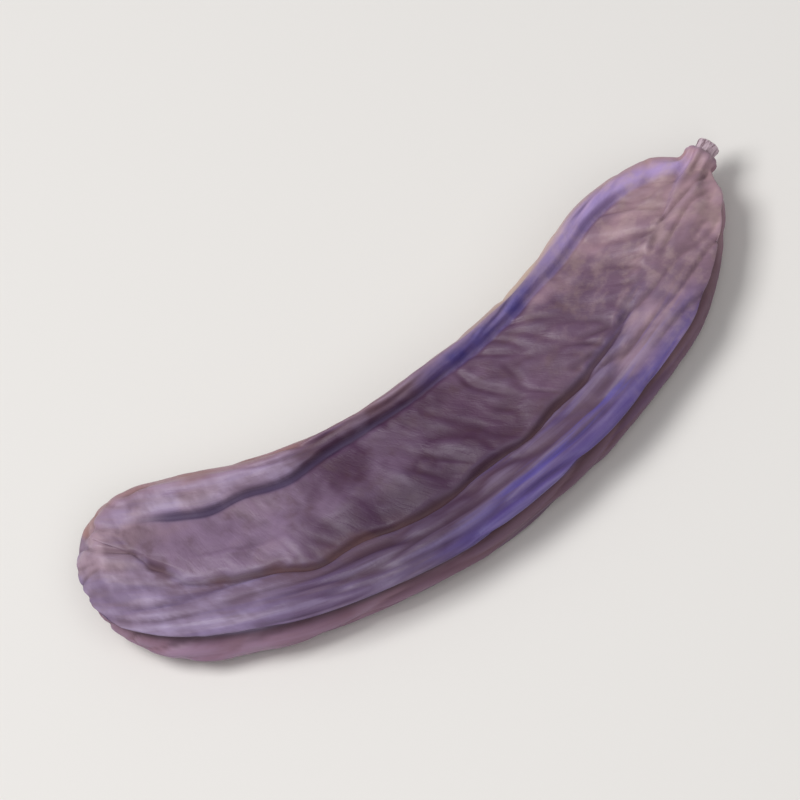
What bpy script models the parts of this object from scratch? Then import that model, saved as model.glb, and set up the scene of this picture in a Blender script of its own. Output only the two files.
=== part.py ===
"""A ripe, dried carob pod, lying on its broad side.

The pod is one flattened, curved legume. It runs along X from its blunt blossom end at -X to its
stalk end at +X, and its hollow side faces +Y. Each of its two margins is a pair of thick cords,
one for each broad face, with the suture as a groove between the pair. Between the cords each
face is a sunken, wrinkled field that the row of seeds inside lifts into low swellings. The cords
run on round the blossom end, which has a small beak, and a stub of the woody stalk is left on
the other end. All of it grew as one body.
"""

import math
import random

import bmesh
import bpy
import numpy as np
from mathutils import Vector, kdtree, noise

MM = 0.001

# The pod as a whole.
LENGTH = 116 * MM  # along the middle line, without the stalk
WIDTH = 28.8 * MM  # of the broad side, where it is widest
WIDEST_AT = 0.36  # share of the length
BLOSSOM_NARROWS = 0.03  # share of the width that is lost before each end closes
STALK_NARROWS = 0.13
BEND = math.radians(72)  # turn of the middle line from end to end
BEND_EASES = (0.60, 0.96)  # share of the length over which the curve runs out straight
TWIST = math.radians(11)  # turn of one end's broad side against the other's
BOW = 1.3 * MM  # rise of the middle over the ends, out of the plane of the curve
WAVINESS = 0.45 * MM  # of each margin, in and out
WAVE_GRAIN = 15 * MM
BELLY = 0.7 * MM  # of the outer margin, out
BELLY_AT = 0.24  # share of the length
BELLY_SPREAD = 0.10

# The two ends. Each margin comes in to the tip as a quarter of a superellipse.
BLOSSOM_REACH_OUTER = 21 * MM
BLOSSOM_REACH_HOLLOW = 14.5 * MM
BLOSSOM_POWERS = (2.2, 1.9)  # on the hollow side and on the outer one
BLOSSOM_TIP = 5.4 * MM  # place of the tip, towards the hollow side
STALK_REACH_OUTER = 25 * MM
STALK_REACH_HOLLOW = 18 * MM
STALK_POWER = 1.7
STALK_TIP = 1.4 * MM
BEAK_LENGTH = 1.4 * MM
BEAK_RADIUS = 1.6 * MM

# The section: half thicknesses, and bands of each broad side counted in from the margin.
CORD_HALF = 4.75 * MM
LIP_HALF = 3.85 * MM  # where the cord rises from the fold
FOLD_HALF = 3.40 * MM
FIELD_HALF = 3.35 * MM
EDGE_HALF = 2.4 * MM  # height of the widest place
CREST_BAND = 2.0 * MM
LIP_BAND = 4.85 * MM
FOLD_BAND = 5.4 * MM
FIELD_BAND = 6.3 * MM
LIP_WIDTH = 0.90 * MM  # of the cord's steep side over the fold
FOOT_WIDTH = 1.50 * MM  # from the fold to the level field
CREST_MOST = 0.42  # most of the half width that lies outside each of these, towards the tips
LIP_MOST = 0.62
FOLD_MOST = 0.72
FIELD_MOST = 0.90
HOLLOW_CORD = 0.68  # width of each cord, as a share of these bands
HOLLOW_BROADENS = 0.60  # what the hollow cords gain towards the blossom end
OUTER_CORD = 1.65
OUTER_BROADENS = 0.25
BROADENS_OVER = (0.16, 0.46)  # share of the length
CORDS_MEET = 0.2  # of the half width, on each side of the middle, where one share becomes the other
HOLLOW_RUNS_OUT = (2 * MM, 13 * MM)  # distances from the stalk over which the hollow cords flatten
OUTER_RUNS_OUT = (18 * MM, 42 * MM)
BEAK_RUNS_OUT = (4 * MM, 15 * MM)  # distances from the beak over which all the cords flatten
SUNKEN_LEAST = 0.35  # share of the field's depth that is left there
SUTURE_DEPTH = 0.55 * MM
SUTURE_UP = 2.0 * MM  # of the outer margin's suture, over the middle of the thickness
EDGE_UP = 0.7  # share of it by which the widest places move up
SUTURE_COMES_UP = (1 * MM, 9 * MM)  # distances from the blossom tip
SET_BACK = 1.7 * MM  # of the outer margin's upper cord and suture, over its lower cord
SET_BACK_STARTS = (6 * MM, 20 * MM)
SET_BACK_ENDS = (0.14, 0.42)  # shares of the length
NOSE_REACH = 4.5 * MM  # over which the blossom end rounds off
BLOSSOM_THIN = 0.22  # share of the thickness that the blossom end lacks
BLOSSOM_THIN_REACH = 24 * MM
STALK_THICK_REACH = 19 * MM
STALK_THIN = 0.12
SWELL = 0.06  # share by which the thickness comes and goes along the pod
SWELL_GRAIN = 17 * MM

# The stalk's stub.
STUB_LENGTH = 2.4 * MM
STUB_RADIUS = 1.75 * MM
STUB_FLARE = 0.18  # share by which the broken end is wider than the waist
STUB_ROUNDING = 0.5 * MM
STUB_POWER = 3  # of the superellipse that rounds its end
COLLAR_RADIUS = 2.5 * MM  # of the puckered skin round the stub
COLLAR_LENGTH = 1.1 * MM
ROUNDS_FROM = 4.0 * MM  # before the end, where the section turns into the stub's circle

# Relief of the skin.
SEEDS = 10
SEED_SPAN = (15 * MM, 100 * MM)
SEED_HEIGHT = 0.75 * MM
SEED_HEIGHT_SHARE = (0.5, 1.1)  # the least and the most of it
SEED_OFF_MIDDLE = 1.2 * MM  # at most, either way
SEED_TURN = 0.4  # at most, either way
SEED_DRAW = 11
SEED_LENGTH = 3.3 * MM  # along the pod, to 1/e of the height
SEED_BREADTH = 4.6 * MM
FOLD_DEPTH = 0.90 * MM  # of the sharp fold between cord and field
FOLD_RADIUS = 0.50 * MM
HOLLOW_FOLD = 0.65  # share of the depth on the hollow side
FOLD_DEEPENS = (0.16, 0.42)  # shares of the length between which the outer fold gets its full depth
FOLD_LEAST = 0.40  # share of the depth where the outer fold starts
FOLD_DEPTH_SHARE = (0.5, 1.2)  # the least and the most of it
FOLD_DRIFT = 0.8 * MM  # by which the fold wanders in and out
DRIFT_RISES = (0.08, 0.20)  # shares of the length between which it starts and stops wandering
DRIFT_FALLS = (0.75, 0.90)
FOLD_GRAIN = 8 * MM
CALM_REACH = 4 * MM  # round the beak, where the skin is smooth
SUTURE_FOLD = 0.40 * MM
SUTURE_RADIUS = 0.70 * MM
DENT_DEPTH = 0.6 * MM
DENT_GRAIN = (17 * MM, 9 * MM, 9 * MM)  # along, across and up
CORD_CREASE_DEPTH = 0.50 * MM
CORD_CREASE_GRAIN = (13 * MM, 2.5 * MM, 2.5 * MM)
FIELD_CREASE_DEPTH = 0.42 * MM
FIELD_CREASED = (0.38, 0.60)  # shares of the length between which the field gets its full creases
FIELD_CREASED_LEAST = 0.35  # share of their depth on the blossom end's side
FIELD_CREASE_GRAIN = (3.1 * MM, 6.5 * MM, 9 * MM)
FIELD_CREASE_SLANT = 0.7  # of the creases across the field
CREASE_WIDTH = 0.30  # height of the noise at which a crease ends
FADE_GRAIN = (16 * MM, 6 * MM, 6 * MM)  # over which the creases come and go
FADE_SPAN = (-0.35, 0.25)  # heights of that noise between which they come up
FADE_LEAST = 0.4  # share of their depth that is left between
PUCKERS = 9
PUCKER_DEPTH = 0.20 * MM
PUCKER_REACH = 12 * MM  # from the stalk
RELIEF_FULL = 0.67  # share of the thickness at which the relief is at its full depth

# Each noise is read at a place of its own, and each margin and broad side on a line of its own.
MARGIN_DRAW = 2.5
DRIFT_DRAW = 3.1
SWELL_DRAW = 5.9
FOLD_DRAW = 7.7
DENT_DRAW = 12.5
FADE_DRAW = 19.5
CORD_DRAW = 31.0
FIELD_DRAW = 47.0
MARGINS_APART = 5.0
FACES_APART = 7.0

REST_FLAT = 0.50 * MM  # skin pressed flat where the pod rests
FACES_DOWN = -0.9  # the highest that a face's normal may point to be one that the pod can rest on
SKIN_COLOUR = (0.135, 0.075, 0.105, 1.0)
SKIN_ROUGHNESS = 0.5

AROUND = 60  # faces round the section, a multiple of four
ALONG = 98  # faces from tip to tip
QUARTER = AROUND // 4
# Face counts from the middle of a broad side to the field's edge, the fold, its lip, the cord's
# crest, the widest place and the suture.
KNOTS = np.array([0, 4, 6, 7, 10, 13, QUARTER]) / QUARTER
FINE_STEPS = 4000
STEEPEST = 3  # slope of a curve through knots, as a multiple of the gentler way to its neighbours


def rise(value, low, high):
    """0 below low, 1 above high, and smooth between."""
    share = np.clip((value - low) / (high - low), 0, 1)
    return share * share * (3 - 2 * share)


def superellipse(distance, reach, power=2):
    """Grows from 0 at a tip to 1 at reach from it, as a quarter of an ellipse does at power 2."""
    left = np.clip(1 - distance / reach, 0, 1)
    return (1 - left**power) ** (1 / power)


def through(knots, values, t):
    """A smooth curve through the values at the knots. The first and the last only give it slope.

    Where the values go one way from knot to knot, so does the curve, without running back.
    """
    slopes = [0.0]
    for i in range(1, len(knots) - 1):
        before = (values[i] - values[i - 1]) / (knots[i] - knots[i - 1])
        after = (values[i + 1] - values[i]) / (knots[i + 1] - knots[i])
        slope = (values[i + 1] - values[i - 1]) / (knots[i + 1] - knots[i - 1])
        most = STEEPEST * np.minimum(np.abs(before), np.abs(after))
        slopes.append(np.where(before * after >= 0, np.clip(slope, -most, most), slope))
    made = np.zeros_like(t)
    for i in range(1, len(knots) - 2):
        gap = knots[i + 1] - knots[i]
        h = (t - knots[i]) / gap
        curve = (1 + 2 * h) * (1 - h) ** 2 * values[i] + h * h * (3 - 2 * h) * values[i + 1]
        curve += gap * h * (1 - h) * ((1 - h) * slopes[i] - h * slopes[i + 1])
        made = np.where((h >= 0) & (h <= 1), curve, made)
    return made


def noise_at(points, grain, draw):
    """Smooth noise, about -1 to 1, whose grain is given along the pod, across it and up."""
    return np.array([noise.noise(Vector(p) + Vector((0, 0, draw))) for p in points / grain])


def noise_along(s, side, face, grain, draw):
    """Noise that changes along the pod, and from one margin or broad side to another."""
    lines = np.broadcast_arrays(s / grain, MARGINS_APART * side, FACES_APART * face)
    return noise_at(np.column_stack(lines), 1.0, draw)


def crossed(s):
    """How deep the creases across the field are along the pod, as a share."""
    return FIELD_CREASED_LEAST + (1 - FIELD_CREASED_LEAST) * rise(s / LENGTH, *FIELD_CREASED)


def crease(points, grain, draw):
    """1 along the wandering zero lines of a noise, and 0 off them."""
    return 1 - rise(np.abs(noise_at(points, grain, draw)), 0, CREASE_WIDTH)


def margin(s, side):
    """Where a margin runs across the straight pod. Side 1 is the hollow one, and -1 the outer one."""
    widest = WIDEST_AT * LENGTH
    narrowing = BLOSSOM_NARROWS * (1 - rise(s, 0, widest)) + STALK_NARROWS * rise(s, widest, LENGTH)
    half = WIDTH / 2 * (1 - narrowing) + WAVINESS * noise_along(s, side, 0, WAVE_GRAIN, MARGIN_DRAW)
    half += BELLY * np.exp(-(((s / LENGTH - BELLY_AT) / BELLY_SPREAD) ** 2)) * (1 - side) / 2
    blossom_reach = np.where(side > 0, BLOSSOM_REACH_HOLLOW, BLOSSOM_REACH_OUTER)
    stalk_reach = np.where(side > 0, STALK_REACH_HOLLOW, STALK_REACH_OUTER)
    blossom = superellipse(s, blossom_reach, np.where(side > 0, *BLOSSOM_POWERS))
    stalk = superellipse(LENGTH - s, stalk_reach, STALK_POWER)
    tips = BLOSSOM_TIP * (1 - blossom) + STALK_TIP * (1 - stalk)
    return side * half * blossom * stalk + tips


def middle_and_half(s):
    """The middle of the straight pod's outline across it, and half its breadth."""
    hollow = margin(s, np.ones_like(s))
    outer = margin(s, -np.ones_like(s))
    return (hollow + outer) / 2, (hollow - outer) / 2


def outline_tree():
    """The outline's points, close together at the blunt tips, ready to be searched."""
    s = LENGTH * (1 - np.cos(np.linspace(0, math.pi, FINE_STEPS))) / 2
    tree = kdtree.KDTree(2 * FINE_STEPS)
    for side in (1, -1):
        for i, y in enumerate(margin(s, side * np.ones_like(s))):
            tree.insert((s[i], y, 0), i)
    tree.balance()
    return tree


OUTLINE = outline_tree()


def cord_share(s, hollow):
    """The width of the cords, as a share of the bands, for hollow from 0 (outer) to 1."""
    blossom = 1 - rise(s / LENGTH, *BROADENS_OVER)
    outer_share = OUTER_CORD + OUTER_BROADENS * blossom
    hollow_share = HOLLOW_CORD + HOLLOW_BROADENS * blossom
    return outer_share + (hollow_share - outer_share) * hollow


def drift(s, side, face):
    """How far the fold wanders in from its band."""
    wander = FOLD_DRIFT * noise_along(s, side, face, FOLD_GRAIN, DRIFT_DRAW)
    return wander * rise(s / LENGTH, *DRIFT_RISES) * (1 - rise(s / LENGTH, *DRIFT_FALLS))


def towards_hollow(s, y):
    """0 on the outer side of the middle, 1 on the hollow side, and smooth between."""
    middle, half = middle_and_half(s)
    return rise((y - middle) / np.maximum(half, MM), -CORDS_MEET, CORDS_MEET)


def standing(s, y):
    """How far the cords stand out over the field: 0 where they have run out, and 1 on the body."""
    outer = rise(LENGTH - s, *OUTER_RUNS_OUT)
    hollow = rise(LENGTH - s, *HOLLOW_RUNS_OUT)
    from_tip = np.hypot(s, y - BLOSSOM_TIP)
    return (outer + (hollow - outer) * towards_hollow(s, y)) * rise(from_tip, *BEAK_RUNS_OUT)


def band(s, y, side, face):
    """How far in from the margin a place lies, with the cord's share and its wandering taken out."""
    share = cord_share(s, towards_hollow(s, y))
    depth = np.array([OUTLINE.find((a, b, 0))[2] for a, b in zip(s, y)]) / share
    return depth - drift(s, side, face) * rise(depth, CREST_BAND, FOLD_BAND)


def thickness(s):
    """Share of the full thickness at a distance s from the blossom tip."""
    nose = superellipse(s, NOSE_REACH) * (1 - BLOSSOM_THIN * (1 - rise(s, 0, BLOSSOM_THIN_REACH)))
    stalk = superellipse(LENGTH - s, STALK_THICK_REACH)
    return nose * stalk * (1 - STALK_THIN * rise(s, LENGTH / 2, LENGTH))


def suture_height(s, side):
    """How high the suture runs over the middle of the thickness, on the outer margin only."""
    return SUTURE_UP * thickness(s) * rise(s, *SUTURE_COMES_UP) * (1 - side) / 2


def set_back(s, side):
    """How far the outer margin's upper cord and suture stand back from its lower cord."""
    along = rise(s, *SET_BACK_STARTS) * (1 - rise(s / LENGTH, *SET_BACK_ENDS))
    return SET_BACK * thickness(s) * along * (1 - side) / 2


def stub_radius(s):
    """The collar's and the stalk stub's radius, round the end of the pod and past it."""
    past = s - LENGTH
    stub = STUB_RADIUS * (1 + STUB_FLARE * np.clip(past / STUB_LENGTH, 0, 1) ** 2)
    collar = (COLLAR_RADIUS - STUB_RADIUS) * (1 - rise(past, 0, COLLAR_LENGTH))
    return (stub + collar) * superellipse(STUB_LENGTH - past, STUB_ROUNDING, STUB_POWER)


def stations():
    """Distances from the blossom tip to the stub's end, evenly spread along the pod's outline."""
    s = np.linspace(0, LENGTH + STUB_LENGTH, FINE_STEPS)
    half = middle_and_half(s)[1]
    radius = np.maximum(half, np.where(s > LENGTH - ROUNDS_FROM, stub_radius(s), 0))
    outline = np.concatenate([[0], np.cumsum(np.hypot(np.diff(s), np.diff(radius)))])
    return np.interp(np.linspace(0, outline[-1], ALONG + 1), outline, s)


def section(s, t, side, face):
    """Across and up, for t from 0 in the middle of a broad side to 1 in a margin's suture."""
    middle, half = middle_and_half(s)
    thick = thickness(s)
    share, wander = cord_share(s, (side + 1) / 2), drift(s, side, face)
    field = half - np.minimum((FOLD_BAND + wander) * share + FOOT_WIDTH, FIELD_MOST * half)
    fold = half - np.minimum((FOLD_BAND + wander) * share, FOLD_MOST * half)
    lip = half - np.minimum((FOLD_BAND + wander) * share - LIP_WIDTH, LIP_MOST * half)
    crest = half - np.minimum(CREST_BAND * share, CREST_MOST * half)
    back = set_back(s, side)
    edge, other_edge = half - back * (1 + face) / 2, half - back * (1 - face) / 2
    across = [0 * half, field, fold, lip, crest, edge, half - back - SUTURE_DEPTH * thick]
    bands = [0, CREST_BAND, LIP_BAND, FOLD_BAND, FIELD_BAND]
    halves = [EDGE_HALF, CORD_HALF, LIP_HALF, FOLD_HALF, FIELD_HALF]
    swell = 1 + SWELL * noise_along(s, side, face, SWELL_GRAIN, SWELL_DRAW)
    height = []
    for offset in across[:5]:
        place = middle + side * offset
        inwards = band(s, place, side, face)
        sunken = SUNKEN_LEAST + (1 - SUNKEN_LEAST) * standing(s, place)
        level = np.interp(inwards, bands, halves)
        level = np.where(inwards > CREST_BAND, CORD_HALF - (CORD_HALF - level) * sunken, level)
        height.append(level * thick * swell)
    up = face * suture_height(s, side)
    height += [EDGE_HALF * thick + EDGE_UP * up, up]
    knots = [-KNOTS[1], *KNOTS, 2 - KNOTS[-2]]
    y = through(knots, [-across[1], *across, other_edge], t)
    past_suture = 2 * EDGE_UP * up - height[-2]
    z = through(knots, [height[1], *height, past_suture], t)
    radius = stub_radius(s)
    rounded = rise(s, LENGTH - ROUNDS_FROM, LENGTH)
    y = y * (1 - rounded) + radius * np.sin(t * math.pi / 2) * rounded
    z = z * (1 - rounded) + radius * np.cos(t * math.pi / 2) * rounded
    return middle + side * y, face * z


def from_beak(s, y, z):
    """Distance from the blossom tip, where the beak stands."""
    return np.sqrt(s**2 + (y - BLOSSOM_TIP) ** 2 + z**2)


def straight_pod(ring, column):
    """Places of the skin on a pod that is neither bent nor twisted, with their margin and side."""
    s = stations()[ring]
    quarter, step = column // QUARTER, (column % QUARTER) / QUARTER
    t = np.where(quarter % 2 == 0, 1 - step, step)
    side = np.where((quarter == 0) | (quarter == 3), 1.0, -1.0)
    face = np.where(quarter < 2, 1.0, -1.0)
    y, z = section(s, t, side, face)
    beak = BEAK_LENGTH * np.exp(-((from_beak(s, y, z) / BEAK_RADIUS) ** 2))
    return np.column_stack([s - beak, y, z]), side, face


def relief(points, side, face):
    """How far the skin stands out, in metres, at places on the straight pod."""
    s, y, z = points.T
    s = np.maximum(s, 0)
    body = np.minimum(thickness(s) / RELIEF_FULL, 1) * rise(from_beak(s, y, z), 0, CALM_REACH)
    inwards = band(s, y, side, face)
    in_field = rise(inwards, FOLD_BAND, FIELD_BAND)

    # The fold between cord and field is deeper in some places than in others.
    least, most = FOLD_DEPTH_SHARE
    deep = least + (most - least) * (noise_along(s, side, face, FOLD_GRAIN, FOLD_DRAW) + 1) / 2
    share = cord_share(s, towards_hollow(s, y))
    off_fold = (inwards - FOLD_BAND) * share
    fold = np.exp(-((off_fold / FOLD_RADIUS) ** 2)) * deep * standing(s, y)
    deepened = FOLD_LEAST + (1 - FOLD_LEAST) * rise(s / LENGTH, *FOLD_DEEPENS)
    fold *= deepened + (HOLLOW_FOLD - deepened) * towards_hollow(s, y)
    off_suture = z - suture_height(s, side)
    suture = np.exp(-((off_suture / SUTURE_RADIUS) ** 2)) * (1 - rise(inwards, 0, CREST_BAND))

    # The seeds lift the field, each a little off the middle and turned its own way.
    draw = random.Random(SEED_DRAW)
    swelling = np.zeros_like(s)
    for seed in np.linspace(*SEED_SPAN, SEEDS):
        across = y - draw.uniform(-SEED_OFF_MIDDLE, SEED_OFF_MIDDLE)
        along = s - seed + draw.uniform(-SEED_TURN, SEED_TURN) * face * across
        spread = (along / SEED_LENGTH) ** 2 + (across / SEED_BREADTH) ** 2
        swelling += draw.uniform(*SEED_HEIGHT_SHARE) * np.exp(-spread)

    dents = noise_at(points, DENT_GRAIN, DENT_DRAW)
    slanted = points + np.column_stack([FIELD_CREASE_SLANT * face * y, 0 * y, 0 * y])
    on_cord = crease(points, CORD_CREASE_GRAIN, CORD_DRAW) * CORD_CREASE_DEPTH
    on_field = crease(slanted, FIELD_CREASE_GRAIN, FIELD_DRAW) * FIELD_CREASE_DEPTH * crossed(s)
    creased = rise(noise_at(points, FADE_GRAIN, FADE_DRAW), *FADE_SPAN)
    creased = FADE_LEAST + (1 - FADE_LEAST) * creased
    middle = middle_and_half(np.minimum(s, LENGTH))[0]
    pucker = PUCKER_DEPTH * np.sin(PUCKERS * np.arctan2(z, y - middle))
    pucker *= rise(s, LENGTH - PUCKER_REACH, LENGTH - ROUNDS_FROM)
    pucker *= 1 - rise(s, LENGTH, LENGTH + COLLAR_LENGTH)

    skin = SEED_HEIGHT * swelling * in_field + DENT_DEPTH * dents
    skin -= FOLD_DEPTH * fold + SUTURE_FOLD * suture
    skin -= (on_cord * np.minimum(share, 1) * (1 - in_field) + on_field * in_field) * creased
    return skin * body + pucker


def middle_line(s):
    """Places and headings of the bent middle line, in the plane of the curve, at distances s."""
    fine = np.linspace(0, LENGTH + STUB_LENGTH, FINE_STEPS)
    curvature = 1 - rise(fine / LENGTH, *BEND_EASES)
    step = fine[1] - fine[0]
    heading = np.cumsum(curvature) * step
    heading *= BEND / heading[-1]
    x = np.cumsum(np.cos(heading)) * step
    y = np.cumsum(np.sin(heading)) * step
    chord = math.atan2(y[-1] - y[0], x[-1] - x[0])
    along = math.cos(chord) * x + math.sin(chord) * y
    aside = math.cos(chord) * y - math.sin(chord) * x
    return np.interp(s, fine, along), np.interp(s, fine, aside), np.interp(s, fine, heading - chord)


def bend(points):
    """Carries places on the straight pod to the bent, bowed and twisted one."""
    s, across, up = points.T
    x, y, heading = middle_line(s)
    share = s / LENGTH
    turn = TWIST * (share - 0.5)
    side = across * np.cos(turn) - up * np.sin(turn)
    height = across * np.sin(turn) + up * np.cos(turn) - BOW * (2 * share - 1) ** 2
    return np.column_stack([x - np.sin(heading) * side, y + np.cos(heading) * side, height])


def read(mesh, name, attribute):
    """One vector for each vertex or vertex normal of a mesh."""
    values = np.empty(len(mesh.vertices) * 3)
    getattr(mesh, name).foreach_get(attribute, values)
    return values.reshape(-1, 3)


def write(mesh, points):
    """Moves a mesh's vertices to the points."""
    mesh.vertices.foreach_set("co", points.ravel())
    mesh.update()


def middle_of_mass(bm):
    """The middle of mass of a closed mesh of triangles."""
    weighed, volume = Vector(), 0.0
    for face in bm.faces:
        a, b, c = (v.co for v in face.verts)
        piece = a.dot(b.cross(c)) / 6
        weighed += (a + b + c) / 4 * piece
        volume += piece
    return weighed / volume


def rest_turn(mesh):
    """The rotation that lays the pod on the three low points that stand round its weight."""
    bm = bmesh.new()
    bm.from_mesh(mesh)
    bmesh.ops.triangulate(bm, faces=bm.faces)
    weight = middle_of_mass(bm)
    shell = bmesh.new()
    for v in bm.verts:
        shell.verts.new(v.co)
    bmesh.ops.convex_hull(shell, input=shell.verts, use_existing_faces=False)
    shell.normal_update()
    down = None
    for face in shell.faces:
        if face.normal.z > FACES_DOWN:
            continue
        foot = weight + face.normal * (face.verts[0].co - weight).dot(face.normal)
        corners = [v.co for v in face.verts]
        edges = zip(corners, corners[1:] + corners[:1])
        if all((b - a).cross(foot - a).dot(face.normal) >= 0 for a, b in edges):
            down = face.normal.copy()
    bm.free()
    shell.free()
    return down.rotation_difference(Vector((0, 0, -1))).to_matrix()


def skin_material():
    """The dried, leathery skin: dark purple-brown and dull."""
    material = bpy.data.materials.new("dried_skin")
    material.use_nodes = True
    shader = material.node_tree.nodes["Principled BSDF"]
    shader.inputs["Base Color"].default_value = SKIN_COLOUR
    shader.inputs["Roughness"].default_value = SKIN_ROUGHNESS
    shader.inputs["Metallic"].default_value = 0.0
    material.diffuse_color = SKIN_COLOUR
    return material


def carob_pod(collection):
    """The whole pod, shaped from a sphere whose poles become the beak and the stub's end."""
    bpy.ops.mesh.primitive_uv_sphere_add(segments=AROUND, ring_count=ALONG, radius=1.0)
    pod = bpy.context.object
    pod.name = "carob_pod"
    pod.data.name = "carob_pod"
    mesh = pod.data
    ball = read(mesh, "vertices", "co")
    ring = np.rint(np.arccos(np.clip(ball[:, 2], -1, 1)) / math.pi * ALONG).astype(int)
    column = np.rint(np.arctan2(ball[:, 1], ball[:, 0]) / (2 * math.pi) * AROUND).astype(int)
    straight, side, face = straight_pod(ring, column % AROUND)
    write(mesh, bend(straight))
    if Vector(mesh.vertex_normals[int(np.argmax(straight[:, 2]))].vector).z < 0:
        mesh.flip_normals()
    raised = read(mesh, "vertex_normals", "vector") * relief(straight, side, face)[:, None]
    write(mesh, bend(straight) + raised)
    mesh.transform(rest_turn(mesh).to_4x4())
    placed = read(mesh, "vertices", "co")
    low, high = placed.min(axis=0), placed.max(axis=0)
    placed -= [(low[0] + high[0]) / 2, (low[1] + high[1]) / 2, low[2] + REST_FLAT]
    placed[:, 2] = np.maximum(placed[:, 2], 0)
    write(mesh, placed)
    mesh.shade_smooth()
    mesh.materials.append(skin_material())
    for other in pod.users_collection:
        other.objects.unlink(pod)
    collection.objects.link(pod)
    return pod


def main():
    """Clears the scene and makes the pod in a collection of its own."""
    for obj in list(bpy.data.objects):
        bpy.data.objects.remove(obj)
    collection = bpy.data.collections.new("carob_pod")
    bpy.context.scene.collection.children.link(collection)
    carob_pod(collection)


main()
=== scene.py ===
import math
import random

import bmesh
import bpy
import numpy as np
from mathutils import Matrix, Quaternion, Vector, kdtree, noise


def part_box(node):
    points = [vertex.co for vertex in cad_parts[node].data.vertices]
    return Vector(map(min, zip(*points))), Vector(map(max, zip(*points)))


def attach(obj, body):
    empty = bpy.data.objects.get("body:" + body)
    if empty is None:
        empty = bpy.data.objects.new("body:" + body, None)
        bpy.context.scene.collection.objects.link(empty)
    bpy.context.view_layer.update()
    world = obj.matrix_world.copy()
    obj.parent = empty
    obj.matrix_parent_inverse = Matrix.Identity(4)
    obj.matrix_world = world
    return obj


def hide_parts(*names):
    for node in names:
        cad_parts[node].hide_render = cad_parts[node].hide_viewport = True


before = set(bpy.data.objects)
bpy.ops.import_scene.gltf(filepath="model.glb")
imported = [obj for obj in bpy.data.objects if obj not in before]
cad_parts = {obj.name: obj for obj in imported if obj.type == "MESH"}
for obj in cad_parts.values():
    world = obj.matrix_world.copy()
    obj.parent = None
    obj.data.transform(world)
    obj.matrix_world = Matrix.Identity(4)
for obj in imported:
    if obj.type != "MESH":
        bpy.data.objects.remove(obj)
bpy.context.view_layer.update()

# The line and the outline of the pod. A carob pod grows flat and curved like a flat bean, blunt at
# the blossom end and narrower at the stalk. Places on it are first counted along a straight pod, s
# from the blossom tip and y across towards the hollow side of the curve.
MM = 0.001
LENGTH = 116 * MM  # along the middle line, without the stalk
WIDTH = 28.8 * MM
WIDEST_AT = 0.36  # share of the length
BLOSSOM_NARROWS = 0.03  # share of the width that is lost before each end closes
STALK_NARROWS = 0.13
WAVINESS = 0.45 * MM
WAVE_GRAIN = 15 * MM
BELLY = 0.7 * MM  # of the outer margin, out
BELLY_AT = 0.24
BELLY_SPREAD = 0.10
BLOSSOM_REACH_OUTER = 21 * MM
BLOSSOM_REACH_HOLLOW = 14.5 * MM
BLOSSOM_POWERS = (2.2, 1.9)  # on the hollow side and on the outer one
BLOSSOM_TIP = 5.4 * MM  # place of the tip, towards the hollow side
STALK_REACH_OUTER = 25 * MM
STALK_REACH_HOLLOW = 18 * MM
STALK_POWER = 1.7
STALK_TIP = 1.4 * MM
FINE_STEPS = 4000
# Each noise is read at a place of its own, and each margin and broad side on a line of its own.
MARGIN_DRAW = 2.5
MARGINS_APART = 5.0
FACES_APART = 7.0


def rise(value, low, high):
    """0 below low, 1 above high, and smooth between."""
    share = np.clip((value - low) / (high - low), 0, 1)
    return share * share * (3 - 2 * share)


def superellipse(distance, reach, power=2):
    """Grows from 0 at a tip to 1 at reach from it, as a quarter of an ellipse does at power 2."""
    left = np.clip(1 - distance / reach, 0, 1)
    return (1 - left**power) ** (1 / power)


def noise_at(points, grain, draw):
    """Smooth noise, about -1 to 1, whose grain is given along the pod, across it and up."""
    return np.array([noise.noise(Vector(p) + Vector((0, 0, draw))) for p in points / grain])


def noise_along(s, side, face, grain, draw):
    """Noise that changes along the pod, and from one margin or broad side to another."""
    lines = np.broadcast_arrays(s / grain, MARGINS_APART * side, FACES_APART * face)
    return noise_at(np.column_stack(lines), 1.0, draw)


def margin(s, side):
    """Where a margin runs across the straight pod. Side 1 is the hollow one, and -1 the outer one."""
    widest = WIDEST_AT * LENGTH
    narrowing = BLOSSOM_NARROWS * (1 - rise(s, 0, widest)) + STALK_NARROWS * rise(s, widest, LENGTH)
    half = WIDTH / 2 * (1 - narrowing) + WAVINESS * noise_along(s, side, 0, WAVE_GRAIN, MARGIN_DRAW)
    half += BELLY * np.exp(-(((s / LENGTH - BELLY_AT) / BELLY_SPREAD) ** 2)) * (1 - side) / 2
    blossom_reach = np.where(side > 0, BLOSSOM_REACH_HOLLOW, BLOSSOM_REACH_OUTER)
    stalk_reach = np.where(side > 0, STALK_REACH_HOLLOW, STALK_REACH_OUTER)
    blossom = superellipse(s, blossom_reach, np.where(side > 0, *BLOSSOM_POWERS))
    stalk = superellipse(LENGTH - s, stalk_reach, STALK_POWER)
    tips = BLOSSOM_TIP * (1 - blossom) + STALK_TIP * (1 - stalk)
    return side * half * blossom * stalk + tips


def middle_and_half(s):
    """The middle of the straight pod's outline across it, and half its breadth."""
    once, where = np.unique(s, return_inverse=True)
    hollow = margin(once, np.ones_like(once))[where]
    outer = margin(once, -np.ones_like(once))[where]
    return (hollow + outer) / 2, (hollow - outer) / 2


def outline_tree():
    """The outline's points, close together at the blunt tips, ready to be searched."""
    s = LENGTH * (1 - np.cos(np.linspace(0, math.pi, FINE_STEPS))) / 2
    tree = kdtree.KDTree(2 * FINE_STEPS)
    for side in (1, -1):
        for i, y in enumerate(margin(s, side * np.ones_like(s))):
            tree.insert((s[i], y, 0), i)
    tree.balance()
    return tree


outline = outline_tree()

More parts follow.
